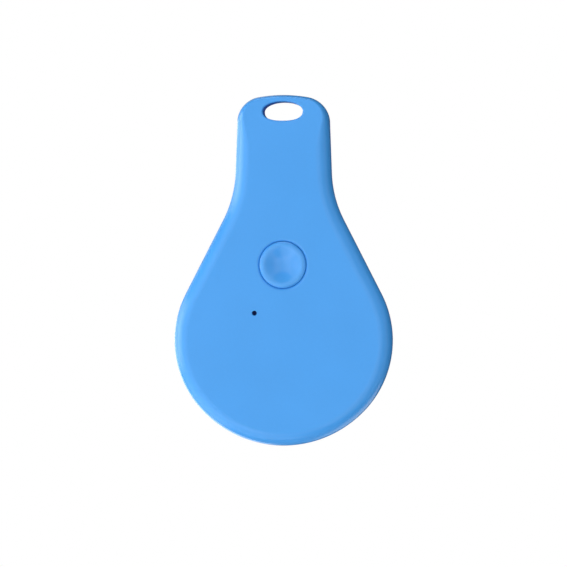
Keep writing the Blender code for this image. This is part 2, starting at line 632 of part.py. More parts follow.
def battery_door():
    """A disc with a coin slot, and a skirt whose three lugs climb the ramps in the rear shell."""
    underside = REAR_Y - DOOR_THICKNESS
    profile = [(SKIRT_INNER, underside), (SKIRT_INNER, LUG_FRONT_Y), (SKIRT_OUTER, LUG_FRONT_Y),
               (SKIRT_OUTER, underside), (DOOR_RADIUS, underside), (DOOR_RADIUS, REAR_Y - LIP),
               (DOOR_RADIUS - LIP, REAR_Y)]
    door = turned("battery_door", profile, 0, CELL_Z, SHELL_BLUE, segments=64)
    rise = DOOR_RISE * LUG_ANGLE / DOOR_TURN
    for number in range(LUG_COUNT):
        start = 360.0 / LUG_COUNT * number - LUG_ANGLE / 2
        add(door, sector(f"add_lug_{number + 1}", SKIRT_OUTER - 0.25 * MM, LUG_RADIUS,
                         LUG_FRONT_Y - rise / 2, LUG_HEIGHT, start, start + LUG_ANGLE, rise))
    half_run, half_width = (COIN_SLOT_LENGTH - COIN_SLOT_WIDTH) / 2, COIN_SLOT_WIDTH / 2
    ends = []
    for side in (1, -1):
        for k in range(9):
            a = math.pi * k / 8
            ends.append((side * (half_run + half_width * math.sin(a)), side * half_width * math.cos(a)))
    depths = (REAR_Y - COIN_SLOT_DEPTH, REAR_Y + MM)
    cut(door, loft("cut_coin_slot", [[(x, y, CELL_Z + z) for x, z in ends] for y in depths]))


def door_seal():
    centre_y = (DOOR_SEAT_Y + REAR_Y - DOOR_THICKNESS) / 2
    profile = []
    for k in range(6):
        a = 2 * math.pi * (k + 0.5) / 6
        half = O_RING_THICKNESS / 2
        profile.append((O_RING_RADIUS + half * math.cos(a), centre_y + half * math.sin(a)))
    turned("door_seal", profile, 0, CELL_Z, SEAL_RUBBER, ring=True, segments=48)


def main():
    for old in list(bpy.data.objects):
        bpy.data.objects.remove(old)
    hole = lanyard_cutter()
    for shell in (front_shell(), rear_shell()):
        cut(shell, hole)
    case_seal()
    case_screws()
    button_cap()
    tact_switch()
    sounder()
    circuit_board()
    board_parts()
    coin_cell()
    battery_contacts()
    battery_door()
    door_seal()


main()
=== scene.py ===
"""The finished look of a key-ring tracker tag, in metres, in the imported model's frame.

The two shells, the button cap, the battery door and the case screws are remodelled with fine rounded edges
and stand for their CAD nodes. Everything inside keeps its CAD solid and gets a finished material.
"""

import json
import math

import bmesh
import bpy
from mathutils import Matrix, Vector

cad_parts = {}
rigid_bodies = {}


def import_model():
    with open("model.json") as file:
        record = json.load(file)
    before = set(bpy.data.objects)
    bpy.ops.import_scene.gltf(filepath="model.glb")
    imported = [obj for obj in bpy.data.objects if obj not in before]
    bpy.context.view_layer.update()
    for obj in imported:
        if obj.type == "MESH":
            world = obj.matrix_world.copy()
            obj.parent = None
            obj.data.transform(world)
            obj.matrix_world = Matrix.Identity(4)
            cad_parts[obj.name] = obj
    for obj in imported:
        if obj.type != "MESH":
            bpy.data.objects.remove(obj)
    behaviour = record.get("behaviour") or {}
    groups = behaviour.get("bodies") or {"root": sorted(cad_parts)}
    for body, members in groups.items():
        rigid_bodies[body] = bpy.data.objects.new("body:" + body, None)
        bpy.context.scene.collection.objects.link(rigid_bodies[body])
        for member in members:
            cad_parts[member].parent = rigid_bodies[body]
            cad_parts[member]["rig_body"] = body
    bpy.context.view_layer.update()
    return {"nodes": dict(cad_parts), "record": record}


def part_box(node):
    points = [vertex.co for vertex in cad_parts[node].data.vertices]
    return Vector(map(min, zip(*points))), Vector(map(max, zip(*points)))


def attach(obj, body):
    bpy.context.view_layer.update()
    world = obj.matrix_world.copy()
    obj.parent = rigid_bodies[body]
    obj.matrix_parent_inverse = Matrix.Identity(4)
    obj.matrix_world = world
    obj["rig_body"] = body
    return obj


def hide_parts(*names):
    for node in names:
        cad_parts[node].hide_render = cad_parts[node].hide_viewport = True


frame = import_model()

MM = 0.001

# Places, read from the frame
FRONT_LOW, FRONT_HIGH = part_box("front_shell")
_, REAR_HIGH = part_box("rear_shell")
CAP_LOW, CAP_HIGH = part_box("button_cap")
DOOR_LOW, DOOR_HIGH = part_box("battery_door")
MESH_LOW, MESH_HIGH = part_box("sound_mesh")
PLATE_LOW, PLATE_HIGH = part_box("sounder_plate")
SCREWS = [name for name in sorted(frame["nodes"]) if name.startswith("case_screw")]
FRONT_Y = FRONT_LOW.y
PARTING_Y = FRONT_HIGH.y
REAR_Y = REAR_HIGH.y
TOP_Z = FRONT_HIGH.z
BOTTOM_Z = FRONT_LOW.z
MIDDLE_Z = (TOP_Z + BOTTOM_Z) / 2
BUTTON_Z = (CAP_LOW.z + CAP_HIGH.z) / 2
CELL_Z = (DOOR_LOW.z + DOOR_HIGH.z) / 2
PINHOLE_X = (MESH_LOW.x + MESH_HIGH.x) / 2
PINHOLE_Z = (MESH_LOW.z + MESH_HIGH.z) / 2
SOUNDER_X = (PLATE_LOW.x + PLATE_HIGH.x) / 2
SOUNDER_Z = (PLATE_LOW.z + PLATE_HIGH.z) / 2

# Outline arcs, as in the CAD model: radius, then first and last direction of the outward normal in degrees
# from +X, then +1 for a bulging arc and -1 for a hollow one
ARCS = (
    (18.4 * MM, -90.0, -42.5, 1),
    (16.85 * MM, -42.5, 27.0, 1),
    (18.3 * MM, 27.0, 2.1, -1),
    (4.3 * MM, 2.1, 80.0, 1),
    (23.4 * MM, 80.0, 90.0, 1),
)
FLANK_AFTER, NECK_AFTER = 1, 2  # the arcs that a straight run follows
ARC_STEP = 1.6  # degrees
RUN_POINTS = 12

# Facets round each turned shape
ROUND_SEGMENTS = 96
BOSS_SEGMENTS = 40
PIN_SEGMENTS = 32
PILOT_SEGMENTS = 24
PINHOLE_SEGMENTS = 32
SCREW_SEGMENTS = 48
CAP_SEGMENTS = 128
DOOR_SEGMENTS = 142
DOOR_OPENING_SEGMENTS = 144
SECTOR_STEP = 4.0  # degrees

# Shading of the remodelled pieces
SHARP_ANGLE = 32.0  # degrees; sharper edges than this stay crisp
NORMAL_WEIGHT = 100  # the largest faces have the most say

# The shells
SIDE_WALL = 1.4 * MM
FACE_WALL = 1.1 * MM
FRONT_INNER_Y = FRONT_Y + FACE_WALL
REAR_INNER_Y = REAR_Y - FACE_WALL
SEAM = 0.01 * MM  # narrower than the CAD's 0.05 mm, which could be seen through from the side
SEAM_LIP = 0.18 * MM
SEAM_STEPS = 4
EDGE_INSET = 2.4 * MM
EDGE_DEPTH = 2.6 * MM
EDGE_STEPS = 14
RIM_SHARE = 0.22
RIM_FADES_FROM = -7.0 * MM
CAVITY_TOP = -3.6 * MM
CORNER_CHAMFER = 0.5 * MM
SEAL_INSET = 0.45 * MM
SEAL_WIDTH = 0.55 * MM
SEAL_DEPTH = 0.5 * MM
SEAL_TOP = -2.4 * MM
OVERLAP = 0.3 * MM
HOLE_HALF_WIDTH = 3.3 * MM
HOLE_HALF_HEIGHT = 1.58 * MM
HOLE_LOWER_POWER = 2.4  # the lower half is fuller than an ellipse, whose power is 2
HOLE_LIP = 0.3 * MM
PINHOLE_RADIUS = 0.4 * MM
PINHOLE_LIP = 0.1 * MM
BUTTON_HOLE_RADIUS = 3.875 * MM
BUTTON_HOLE_LIP = (0.55 * MM, 0.38 * MM)  # across the face, and down into the bore
BUTTON_RECESS_RADIUS = 5.0 * MM
BUTTON_RECESS_Y = -3.0 * MM
SOUNDER_SEAT = (6.7 * MM, 7.9 * MM)
BOSS_RADIUS = 2.0 * MM
PIN_RADIUS = 1.2 * MM
PILOT_RADIUS = 0.55 * MM
SCREW_TIP_ROOM = 0.2 * MM
BOARD_FRONT_Y = -1.6 * MM
BOARD_REAR_Y = -0.8 * MM

# The cell well, and the door that closes it
WELL_INNER = 10.8 * MM
WELL_OUTER = 12.8 * MM
WELL_FRONT_Y = 0.25 * MM
DOOR_SEAT_Y = 2.05 * MM
DOOR_RECESS_RADIUS = 12.0 * MM
DOOR_RADIUS = 11.85 * MM
DOOR_THICKNESS = 1.2 * MM
DOOR_LIP = 0.22 * MM
SKIRT = (10.2 * MM, 10.65 * MM)
SKIRT_FRONT_Y = 0.55 * MM
LUG_RADIUS = 11.1 * MM
LUG_HEIGHT = 0.5 * MM
LUG_ANGLE = 21.0
LUG_COUNT = 3
LUG_ROOT = 0.25 * MM  # how far a lug reaches into the skirt
LUG_WAY_SLACK = 1.0  # degrees at each end of a lug's channel
LUG_WAY_INWARD = 0.3 * MM  # past the well's wall
LUG_WAY_OUTWARD = 0.15 * MM  # past the lug's tip
NOTCH_INWARD = 0.4 * MM
DOOR_TURN = 45.0
DOOR_RISE = 0.7 * MM
PLAY = 0.05 * MM
COIN_SLOT_LENGTH = 13.0 * MM
COIN_SLOT_WIDTH = 1.8 * MM
COIN_SLOT_DEPTH = 0.7 * MM
COIN_SLOT_LIP = 0.2 * MM
COIN_SLOT_CHAMFER = 0.15 * MM
COIN_SLOT_END_STEPS = 16

# The button cap
CAP_RADIUS = 3.845 * MM
CAP_FLANGE_RADIUS = 4.6 * MM
CAP_CREST_RADIUS = 3.18 * MM
CAP_RIM_DEPTH = 0.42 * MM
DISH_DEPTH = 1.1 * MM
DISH_POWER = 1.5  # above 1 it leaves the crest and the middle level
DISH_STEPS = 24

# The case screws
SCREW_HEAD_RADIUS = 1.2 * MM
SCREW_HEAD_HEIGHT = 0.6 * MM
SCREW_CROWN = (0.24 * MM, 0.25 * MM)  # across the head's edge, and down it
SCREW_SHANK_RADIUS = 0.5 * MM
SCREW_TIP_RADIUS = 0.12 * MM
SCREW_TIP_LENGTH = 0.6 * MM
SCREW_FIRST_TURN = 25.0  # degrees
SCREW_NEXT_TURN = 40.0
RECESS_ARM = 0.72 * MM
RECESS_HALF_WIDTH = 0.13 * MM
RECESS_DEPTH = 0.42 * MM
RECESS_TAPER = 0.55  # the arm's length at the recess's floor, against its length at the mouth
RECESS_OVERSHOOT = 0.1 * MM
COUNTERBORE_RADIUS = 1.35 * MM
COUNTERBORE_DEPTH = 1.2 * MM
COUNTERBORE_LIP = 0.12 * MM
SCREW_HOLE_RADIUS = 0.7 * MM

# Framing. The tag fills this share of the picture's height, and its middle is off the picture's middle by
# these shares of the same height.
TAG_SHARE_OF_HEIGHT = 0.6173
TAG_ABOVE_MIDDLE = 0.0232
TAG_RIGHT_OF_MIDDLE = 0.0004
CAMERA_TURN = 2.8  # degrees to the tag's right
LENS = 350.0
SENSOR = 36.0
CLIP_END = 20.0
FLOOR_BELOW = 0.9
FLOOR_HALF_SIZE = 4.0
FLOOR_CELLS = 8

# Studio lights: name, azimuth, elevation, width, height, watts
SOFTBOX_DISTANCE = 0.60
SOFTBOXES = (
    ("far_left", -160.0, 5.0, 0.34, 1.0, 0.40),
    ("back_left", -130.0, 2.0, 0.40, 0.4, 0.30),
    ("rim_left", -105.0, 2.0, 0.40, 0.4, 0.85),
    ("side_left", -80.0, 2.0, 0.40, 0.4, 1.40),
    ("wide_left", -50.0, 0.0, 0.34, 1.0, 1.05),
    ("front_left", -25.0, 0.0, 0.34, 1.0, 1.15),
    ("front", 0.0, 0.0, 0.34, 1.0, 0.75),
    ("front_right", 25.0, 0.0, 0.34, 1.0, 1.05),
    ("wide_right", 50.0, 0.0, 0.34, 1.0, 0.40),
    ("side_right", 80.0, 0.0, 0.34, 1.0, 0.55),
    ("side_low", -88.0, -40.0, 0.40, 0.4, 0.80),
    ("low_left", -30.0, -55.0, 0.50, 0.5, 0.75),
    ("overhead", 0.0, 85.0, 0.50, 0.5, 1.95),
    ("behind_left", -152.0, -22.0, 0.40, 0.6, 1.30),
    ("behind_low", 135.0, -42.0, 0.40, 0.4, 0.70),
)
ROOM_LIGHT = 0.03
FLOOR_LIGHT = 0.03

WHITE = (1.0, 1.0, 1.0, 1.0)
BLUE = (0.06, 0.345, 0.85)
BLUE_ROUGHNESS = 0.25
BUTTON_GRAIN = 0.001 * MM
BUTTON_GLOSS = 0.6
SHEEN_SPREAD = 0.02  # renders show contour lines where the blue plastic's roughness passes 0.27
SPECKLE_SHARE = 0.5
NOISE_MIDDLE = (0.3, 0.7)  # most of a noise's values lie between these


# ---------------------------------------------------------------- outline


def half_outline():
    """The outline's right half from bottom to top, as (x, z, outward normal in radians)."""
    runs = straight_runs()
    x, z = 0.0, BOTTOM_Z
    points = []
    for number, (radius, first, last, bulge) in enumerate(ARCS):
        a, b = math.radians(first), math.radians(last)
        reach = bulge * radius
        centre_x, centre_z = x - reach * math.cos(a), z - reach * math.sin(a)
        steps = round(abs(last - first) / ARC_STEP)
        for k in range(steps):
            t = a + (b - a) * k / steps
            points.append((centre_x + reach * math.cos(t), centre_z + reach * math.sin(t), t))
        x, z = centre_x + reach * math.cos(b), centre_z + reach * math.sin(b)
        run = runs.get(number, 0.0)
        if run:
            for k in range(RUN_POINTS + 1):
                along = run * k / (RUN_POINTS + 1)
                points.append((x - along * math.sin(b), z + along * math.cos(b), b))
            x, z = x - run * math.sin(b), z + run * math.cos(b)
    points.append((0.0, TOP_Z, math.pi / 2))
    return points


def straight_runs():
    """Lengths of the flank and the neck that bring the arcs back to the centre line at the top."""
    across = up = 0.0
    for radius, first, last, bulge in ARCS:
        a, b = math.radians(first), math.radians(last)
        across += bulge * radius * (math.cos(b) - math.cos(a))
        up += bulge * radius * (math.sin(b) - math.sin(a))
    flank, neck = math.radians(ARCS[FLANK_AFTER][2]), math.radians(ARCS[NECK_AFTER][2])
    missing = TOP_Z - BOTTOM_Z - up
    determinant = math.sin(flank - neck)
    return {
        FLANK_AFTER: (across * math.cos(neck) - missing * math.sin(neck)) / determinant,
        NECK_AFTER: (missing * math.sin(flank) - across * math.cos(flank)) / determinant,
    }


HALF = half_outline()
OUTLINE = HALF + [(-x, z, math.pi - t) for x, z, t in reversed(HALF[1:-1])]


def tag_loop(inset, y, top=None):
    """The outline moved in by inset, at depth y. With top, it is cut off flat at that height."""
    loop = []
    for x, z, normal in OUTLINE:
        px, pz = x - inset * math.cos(normal), z - inset * math.sin(normal)
        loop.append((px, y, pz if top is None else min(pz, top)))
    return loop


def rim_share(z):
    """1 over most of the tag, falling smoothly to RIM_SHARE at the lanyard hole's rim."""
    t = min(max((z - RIM_FADES_FROM) / (TOP_Z - RIM_FADES_FROM), 0.0), 1.0)
    return 1 - (1 - RIM_SHARE) * t * t * (3 - 2 * t)


def edge_loops(face_y, inward):
    """The rounded edge from the face to the side. inward is +1 on the front face and -1 on the rear."""
    loops = []
    for k in range(EDGE_STEPS + 1):
        t = math.pi / 2 * k / EDGE_STEPS
        y = face_y + inward * EDGE_DEPTH * (1 - math.cos(t))
        loop = []
        for x, z, normal in OUTLINE:
            inset = EDGE_INSET * rim_share(z) * (1 - math.sin(t))
            loop.append((x - inset * math.cos(normal), y, z - inset * math.sin(normal)))
        loops.append(loop)
    return loops


def lip(radius, face_y, inward, size, steps=6, depth=None):
    """A rounded lip of a hole in a face, as (radius, y) pairs from the face to the hole's wall."""
    down = inward * (size if depth is None else depth)
    pairs = []
    for k in range(steps + 1):
        t = math.pi / 2 * k / steps
        pairs.append((radius + size * (1 - math.sin(t)), face_y + down * (1 - math.cos(t))))
    return pairs


def crown(radius, face_y, across, down, steps):
    """A turned piece's rounded outer edge, as (radius, y) pairs from its side to its face."""
    pairs = []
    for k in range(steps + 1):
        t = math.pi / 2 * k / steps
        pairs.append((radius - across * (1 - math.cos(t)), face_y + down * (1 - math.sin(t))))
    return pairs


# ---------------------------------------------------------------- shapes


def add_object(name, shape):
    bmesh.ops.recalc_face_normals(shape, faces=shape.faces)
    mesh = bpy.data.meshes.new(name)
    shape.to_mesh(mesh)
    shape.free()
    made = bpy.data.objects.new(name, mesh)
    bpy.context.scene.collection.objects.link(made)
    return made


def loft(name, loops, ring=False, twisted=False):
    """A solid through loops of equal length: capped at both ends, or joined end to end as a ring."""
    shape = bmesh.new()
    rows = [[shape.verts.new(point) for point in loop] for loop in loops]
    pairs = list(zip(rows, rows[1:]))
    if ring:
        pairs.append((rows[-1], rows[0]))
    else:
        shape.faces.new(rows[0])
        shape.faces.new(rows[-1])
    for lower, upper in pairs:
        for i in range(len(lower)):
            j = (i + 1) % len(lower)
            shape.faces.new((lower[i], lower[j], upper[j], upper[i]))
    if twisted:
        bmesh.ops.triangulate(shape, faces=shape.faces)
    return add_object(name, shape)


def circle(radius, y, x=0.0, z=0.0, segments=ROUND_SEGMENTS):
    angles = (2 * math.pi * k / segments for k in range(segments))
    return [(x + radius * math.sin(a), y, z + radius * math.cos(a)) for a in angles]


def turned(name, profile, x=0.0, z=0.0, ring=False, segments=ROUND_SEGMENTS):
    """A solid of revolution about the Y axis through (x, z), from (radius, y) pairs."""
    return loft(name, [circle(r, y, x, z, segments) for r, y in profile], ring)


def sector(name, inner, outer, y_low, height, start, end, rise=0.0):
    """A block bent round the cell's axis from start to end degrees, climbing by rise along the way."""
    steps = math.ceil((end - start) / SECTOR_STEP)
    loops = []
    for k in range(steps + 1):
        a = math.radians(start + (end - start) * k / steps)
        y = y_low + rise * k / steps
        corners = ((inner, y), (outer, y), (outer, y + height), (inner, y + height))
        loops.append([(r * math.sin(a), level, CELL_Z + r * math.cos(a)) for r, level in corners])
    return loft(name, loops, twisted=rise > 0)


def carve(body, additions=(), cutters=()):
    """Joins the additions to the body, takes the cutters from it, and applies the result."""
    for other, operation in [(a, "UNION") for a in additions] + [(c, "DIFFERENCE") for c in cutters]:
        step = body.modifiers.new(other.name, "BOOLEAN")
        step.object = other
        step.operation = operation
    depsgraph = bpy.context.evaluated_depsgraph_get()
    carved = bpy.data.meshes.new_from_object(body.evaluated_get(depsgraph))
    body.modifiers.clear()
    body.data = carved
    for other in (*additions, *cutters):
        bpy.data.objects.remove(other)


def finish_piece(piece, node, surface):
    """Smooth shading that keeps flat faces flat; then the piece takes its node's place in the frame."""
    mesh = piece.data
    mesh.materials.clear()
    mesh.materials.append(surface)
    mesh.shade_smooth()
    mesh.set_sharp_from_angle(angle=math.radians(SHARP_ANGLE))
    weighted = piece.modifiers.new("face_normals", "WEIGHTED_NORMAL")
    weighted.keep_sharp = True
    weighted.weight = NORMAL_WEIGHT
    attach(piece, frame["nodes"][node]["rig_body"])
    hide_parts(node)


def screw_places():
    for node in SCREWS:
        low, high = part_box(node)
        yield node, (low.x + high.x) / 2, (low.z + high.z) / 2


# ---------------------------------------------------------------- shells


def lanyard_cutter():
    """An oval hole through both shells, with a rounded lip at each face."""
    front = lip(0.0, FRONT_Y, 1, HOLE_LIP)
    rear = lip(0.0, REAR_Y, -1, HOLE_LIP)
    profile = [(HOLE_LIP, FRONT_Y - MM), *front, *reversed(rear), (HOLE_LIP, REAR_Y + MM)]
    return loft("cut_lanyard_hole", [hole_loop(grow, y) for grow, y in profile])


def hole_loop(grow, y):
    """The oval with its edge moved out by grow."""
    loop = []
    for across, _, up in circle(1.0, 0.0):
        bend = 2.0 / HOLE_LOWER_POWER if up < 0 else 1.0
        x = (HOLE_HALF_WIDTH + grow) * math.copysign(abs(across) ** bend, across)
        z = (HOLE_HALF_HEIGHT + grow) * math.copysign(abs(up) ** bend, up)
        loop.append((x, y, z))
    return loop


def seam_lip(outward):
    """The rounded lip at the parting line. outward is +1 on the front shell's rim and -1 on the rear's."""
    level = PARTING_Y if outward > 0 else PARTING_Y + SEAM
    loops = []
    for k in range(SEAM_STEPS + 1):
        t = math.pi / 2 * k / SEAM_STEPS
        y = level - outward * SEAM_LIP * (1 - math.sin(t))
        loops.append(tag_loop(SEAM_LIP * (1 - math.cos(t)), y))
    return loops


def cavity_loops(rim_y, inner_face, inward):
    """The inside of a shell's wall, from its rim to its chamfered corner with the face."""
    return [
        tag_loop(SIDE_WALL, rim_y, CAVITY_TOP),
        tag_loop(SIDE_WALL, inner_face + inward * CORNER_CHAMFER, CAVITY_TOP),
        tag_loop(SIDE_WALL + CORNER_CHAMFER, inner_face, CAVITY_TOP - CORNER_CHAMFER),
    ]


def seal_groove():
    """The groove in the front shell's rim that holds the seal."""
    far = SEAL_INSET + SEAL_WIDTH
    floor_y = PARTING_Y - SEAL_DEPTH
    return [
        tag_loop(SEAL_INSET, PARTING_Y, SEAL_TOP),
        tag_loop(SEAL_INSET, floor_y, SEAL_TOP),
        tag_loop(far, floor_y, SEAL_TOP - SEAL_WIDTH),
        tag_loop(far, PARTING_Y, SEAL_TOP - SEAL_WIDTH),
    ]


def front_shell(surface):
    loops = edge_loops(FRONT_Y, 1) + seam_lip(1) + seal_groove() + cavity_loops(PARTING_Y, FRONT_INNER_Y, 1)
    shell = loft("front_shell_moulding", loops)
    additions = [sounder_seat()]
    cutters = []
    for node, x, z in screw_places():
        boss = [(BOSS_RADIUS, FRONT_INNER_Y - OVERLAP), (BOSS_RADIUS, BOARD_FRONT_Y - PLAY)]
        additions.append(turned("add_boss_" + node, boss, x, z, segments=BOSS_SEGMENTS))
        pin = [(PIN_RADIUS, BOARD_FRONT_Y - OVERLAP), (PIN_RADIUS, BOARD_REAR_Y - PLAY)]
        additions.append(turned("add_pin_" + node, pin, x, z, segments=PIN_SEGMENTS))
        pilot = [(PILOT_RADIUS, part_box(node)[0].y - SCREW_TIP_ROOM), (PILOT_RADIUS, 0.0)]
        cutters.append(turned("cut_pilot_" + node, pilot, x, z, segments=PILOT_SEGMENTS))
    cutters += [button_bore(), pinhole(), lanyard_cutter()]
    carve(shell, additions, cutters)
    finish_piece(shell, "front_shell", surface)


def sounder_seat():
    """The ring behind the front face that the sounder's plate rests on."""
    inner, outer = SOUNDER_SEAT
    base, end = FRONT_INNER_Y - OVERLAP, PLATE_LOW.y - PLAY
    profile = [(inner, base), (outer, base), (outer, end), (inner, end)]
    return turned("add_sounder_seat", profile, SOUNDER_X, SOUNDER_Z, ring=True)


def button_bore():
    """The button's bore: a soft lip in front, and a wider recess behind for the cap's flange."""
    across, down = BUTTON_HOLE_LIP
    profile = [(BUTTON_HOLE_RADIUS + across, FRONT_Y - MM),
               *lip(BUTTON_HOLE_RADIUS, FRONT_Y, 1, across, steps=8, depth=down),
               (BUTTON_HOLE_RADIUS, BUTTON_RECESS_Y), (BUTTON_RECESS_RADIUS, BUTTON_RECESS_Y),
               (BUTTON_RECESS_RADIUS, FRONT_INNER_Y + OVERLAP)]
    return turned("cut_button_bore", profile, 0.0, BUTTON_Z)


def pinhole():
    """The sounder's hole in the front face."""
    profile = [(PINHOLE_RADIUS + PINHOLE_LIP, FRONT_Y - MM), *lip(PINHOLE_RADIUS, FRONT_Y, 1, PINHOLE_LIP),
               (PINHOLE_RADIUS, FRONT_INNER_Y + OVERLAP)]
    return turned("cut_pinhole", profile, PINHOLE_X, PINHOLE_Z, segments=PINHOLE_SEGMENTS)


def rear_shell(surface):
    loops = edge_loops(REAR_Y, -1) + seam_lip(-1) + cavity_loops(PARTING_Y + SEAM, REAR_INNER_Y, -1)
    shell = loft("rear_shell_moulding", loops)
    well = [(WELL_OUTER, WELL_FRONT_Y), (WELL_OUTER, REAR_INNER_Y + OVERLAP)]
    additions = [turned("add_cell_well", well, 0.0, CELL_Z)]
    cutters = []
    boss_end = BOARD_REAR_Y + PLAY
    for node, x, z in screw_places():
        boss = [(BOSS_RADIUS, boss_end), (BOSS_RADIUS, REAR_INNER_Y + OVERLAP)]
        additions.append(turned("add_boss_" + node, boss, x, z, segments=BOSS_SEGMENTS))
        cutters.append(screw_hole(node, x, z, boss_end - MM))
    cutters.append(door_opening())
    for number in range(LUG_COUNT):
        cutters += lug_way(number)
    cutters.append(lanyard_cutter())
    carve(shell, additions, cutters)
    finish_piece(shell, "rear_shell", surface)


def screw_hole(node, x, z, start_y):
    """A case screw's hole, with its counterbore in the rear face."""
    floor_y = REAR_Y - COUNTERBORE_DEPTH
    mouth = list(reversed(lip(COUNTERBORE_RADIUS, REAR_Y, -1, COUNTERBORE_LIP, steps=4)))
    profile = [(SCREW_HOLE_RADIUS, start_y), (SCREW_HOLE_RADIUS, floor_y),
               (COUNTERBORE_RADIUS, floor_y), *mouth, (mouth[-1][0], REAR_Y + MM)]
    return turned("cut_hole_" + node, profile, x, z, segments=SCREW_SEGMENTS)


def door_opening():
    """The cell's way in, and the recess that the door lies in."""
    mouth = list(reversed(lip(DOOR_RECESS_RADIUS, REAR_Y, -1, DOOR_LIP)))
    profile = [(WELL_INNER, -MM), (WELL_INNER, DOOR_SEAT_Y), (DOOR_RECESS_RADIUS, DOOR_SEAT_Y), *mouth,
               (mouth[-1][0], REAR_Y + MM)]
    return turned("cut_door_opening", profile, 0.0, CELL_Z, segments=DOOR_OPENING_SEGMENTS)


def lug_way(number):
    """The ramped channel that a door lug climbs, and the notch at its end where the lug lifts out."""
    centre = 360.0 / LUG_COUNT * number
    half = LUG_ANGLE / 2 + LUG_WAY_SLACK
    inner, outer = WELL_INNER - LUG_WAY_INWARD, LUG_RADIUS + LUG_WAY_OUTWARD
    reach = DOOR_TURN + LUG_ANGLE / 2
    climb = DOOR_RISE * (half + reach) / DOOR_TURN
    low = SKIRT_FRONT_Y - DOOR_RISE * half / DOOR_TURN - PLAY
    ramp = sector(f"cut_ramp_{number}", inner, outer, low, LUG_HEIGHT + 2 * PLAY, centre - half,
                  centre + reach, climb)
    notch_low = low + DOOR_RISE + 2 * PLAY
    notch = sector(f"cut_notch_{number}", WELL_INNER - NOTCH_INWARD, outer + PLAY, notch_low,
                   DOOR_SEAT_Y + OVERLAP - notch_low, centre + DOOR_TURN - half, centre + DOOR_TURN + half)
    return [ramp, notch]


# ---------------------------------------------------------------- button, door and screws


def button_cap(surface):
    """A stepped cap with a soft rim round a shallow finger dish."""
    crest = CAP_LOW.y
    flange_front = BUTTON_RECESS_Y + PLAY
    rim = CAP_RADIUS - CAP_CREST_RADIUS
    profile = [(CAP_FLANGE_RADIUS, CAP_HIGH.y), (CAP_FLANGE_RADIUS, flange_front),
               (CAP_RADIUS, flange_front), *crown(CAP_RADIUS, crest, rim, CAP_RIM_DEPTH, steps=10)]
    for k in range(1, DISH_STEPS):
        share = 1 - k / DISH_STEPS
        profile.append((CAP_CREST_RADIUS * share, crest + DISH_DEPTH * (1 - share * share) ** DISH_POWER))
    cap = turned("button_cap_moulding", profile, 0.0, BUTTON_Z, segments=CAP_SEGMENTS)
    finish_piece(cap, "button_cap", surface)


def battery_door(surface):
    underside = REAR_Y - DOOR_THICKNESS
    inner, outer = SKIRT
    profile = [(inner, underside), (inner, SKIRT_FRONT_Y), (outer, SKIRT_FRONT_Y), (outer, underside),
               (DOOR_RADIUS, underside), *crown(DOOR_RADIUS, REAR_Y, DOOR_LIP, -DOOR_LIP, steps=6)]
    door = turned("battery_door_moulding", profile, 0.0, CELL_Z, segments=DOOR_SEGMENTS)
    rise = DOOR_RISE * LUG_ANGLE / DOOR_TURN
    lugs = []
    for number in range(LUG_COUNT):
        centre = 360.0 / LUG_COUNT * number
        lugs.append(sector(f"add_lug_{number}", outer - LUG_ROOT, LUG_RADIUS, SKIRT_FRONT_Y - rise / 2,
                           LUG_HEIGHT, centre - LUG_ANGLE / 2, centre + LUG_ANGLE / 2, rise))
    carve(door, lugs, [coin_slot()])
    finish_piece(door, "battery_door", surface)


def coin_slot():
    """A round-ended slot with a rounded lip, for a coin's edge."""
    half_run = (COIN_SLOT_LENGTH - COIN_SLOT_WIDTH) / 2
    half_width = COIN_SLOT_WIDTH / 2
    floor_y = REAR_Y - COIN_SLOT_DEPTH
    profile = [(half_width - COIN_SLOT_CHAMFER, floor_y), (half_width, floor_y + COIN_SLOT_CHAMFER)]
    profile += reversed(lip(half_width, REAR_Y, -1, COIN_SLOT_LIP, steps=5))
    profile.append((half_width + COIN_SLOT_LIP, REAR_Y + MM))
    loops = []
    for reach, y in profile:
        loop = []
        for side in (1, -1):
            for k in range(COIN_SLOT_END_STEPS + 1):
                a = math.pi * k / COIN_SLOT_END_STEPS
                x = side * (half_run + reach * math.sin(a))
                loop.append((x, y, CELL_Z + side * reach * math.cos(a)))
        loops.append(loop)
    return loft("cut_coin_slot", loops)


def case_screws(surface):
    across, down = SCREW_CROWN
    for number, (node, x, z) in enumerate(screw_places()):
        low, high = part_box(node)
        head_low = high.y - SCREW_HEAD_HEIGHT
        profile = [(SCREW_TIP_RADIUS, low.y), (SCREW_SHANK_RADIUS, low.y + SCREW_TIP_LENGTH),
                   (SCREW_SHANK_RADIUS, head_low), (SCREW_HEAD_RADIUS, head_low),
                   *crown(SCREW_HEAD_RADIUS, high.y, across, -down, steps=5)]
        screw = turned(node + "_turned", profile, x, z, segments=SCREW_SEGMENTS)
        carve(screw, (), [cross_recess(number, x, high.y, z)])
        finish_piece(screw, node, surface)


def cross_recess(number, x, y, z):
    """A tapered cross-shaped driver recess, turned differently in each screw, as driven screws are."""
    turn = SCREW_FIRST_TURN + SCREW_NEXT_TURN * number
    half = RECESS_HALF_WIDTH
    loops = []
    for depth, arm in ((-RECESS_OVERSHOOT, RECESS_ARM), (0.0, RECESS_ARM),
                       (RECESS_DEPTH, RECESS_ARM * RECESS_TAPER)):
        loop = []
        for quarter in range(4):
            a = math.radians(turn + 90.0 * quarter)
            for px, pz in ((half, half), (half, arm), (-half, arm)):
                loop.append((x + px * math.cos(a) - pz * math.sin(a), y - depth,
                             z + px * math.sin(a) + pz * math.cos(a)))
        loops.append(loop)
    return loft(f"cut_recess_{number}", loops)


# ---------------------------------------------------------------- materials


